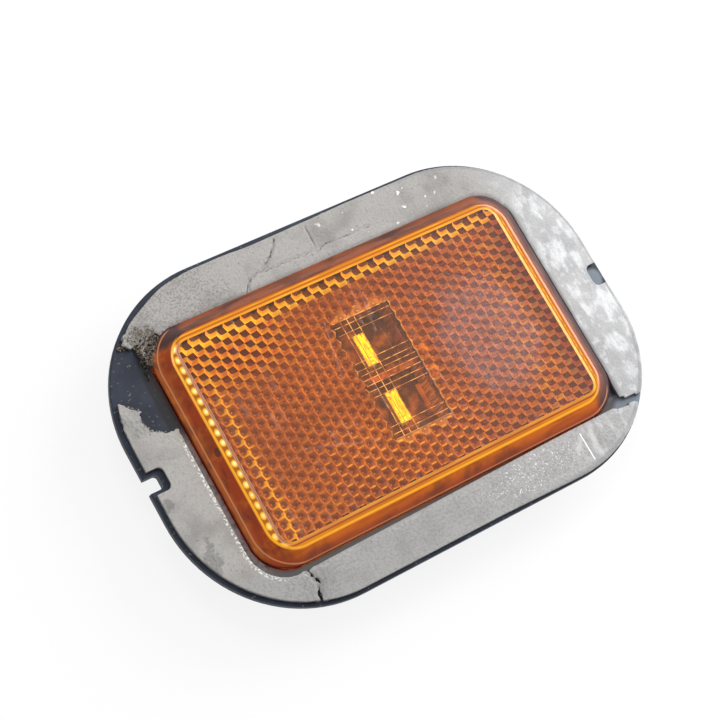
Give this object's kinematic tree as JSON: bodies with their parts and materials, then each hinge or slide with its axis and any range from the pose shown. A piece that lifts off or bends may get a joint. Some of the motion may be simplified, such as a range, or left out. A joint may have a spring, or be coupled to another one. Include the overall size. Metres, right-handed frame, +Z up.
{
  "type": "side marker lamp",
  "caption": "Amber side marker lamp with a reflex-reflector lens on a dark flanged housing, bonded to the back of a panel by foam tape.",
  "frame": {"origin": "centre of the lamp's outline at the flat back of the housing", "axes": "+X along the long side, away from the flange's notched end; +Z up through the lens"},
  "size_m": [0.13, 0.086, 0.0183],
  "materials": {
    "housing": "dark blue-grey moulded plastic, satin, dusty",
    "lens": "clear amber acrylic, polished, with fine scratches",
    "foam": "grey adhesive foam, worn and dirty",
    "board": "dark brown lacquered circuit board",
    "shroud": "black moulded plastic",
    "led": "long white cup with yellow resin",
    "chip": "black moulded block with tinned ends",
    "capacitor": "tan ceramic with tinned ends",
    "terminal": "tinned brass blade",
    "membrane": "thin white breather film"
  },
  "bodies": {
    "root": {"housing": "housing", "lens": "lens", "tape_left": "foam", "tape_lower": "foam", "tape_upper": "foam", "circuit_board": "board", "led_shroud": "shroud", "led_upper": "led", "led_lower": "led", "resistor_1": "chip", "resistor_2": "chip", "resistor_3": "chip", "resistor_4": "chip", "diode": "chip", "suppressor": "chip", "regulator": "chip", "capacitor_1": "capacitor", "capacitor_2": "capacitor", "terminal_1": "terminal", "terminal_2": "terminal", "vent_membrane": "membrane"}
  },
  "joints": []
}
